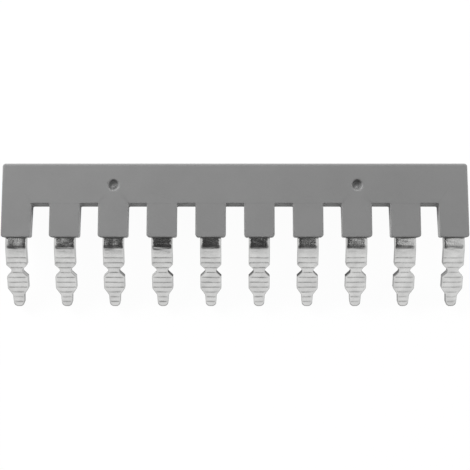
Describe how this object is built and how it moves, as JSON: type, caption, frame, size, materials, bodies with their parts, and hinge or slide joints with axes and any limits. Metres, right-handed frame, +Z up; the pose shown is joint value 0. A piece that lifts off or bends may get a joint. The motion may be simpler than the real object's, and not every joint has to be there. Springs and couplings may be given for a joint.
{
  "type": "comb connector",
  "caption": "Insulated comb bridge: a flat grey plastic bar with square fingers and bent, necked, grooved metal blades that plug into neighbouring terminal blocks and join them.",
  "frame": {"origin": "middle of the outline seen from above, at the height of the table that the part lies on", "axes": "+X along the row of poles, +Y from the blade ends towards the top edge of the bar, +Z up from the table, on the side of the front face"},
  "size_m": [0.0596, 0.0184, 0.0039],
  "materials": {
    "grey_polyamide": "moulded, fine matt surface",
    "tinned_copper": "bright tin plating on a copper strip"
  },
  "bodies": {
    "root": {"insulating_body": "grey_polyamide", "contact_comb": "tinned_copper"}
  },
  "joints": []
}
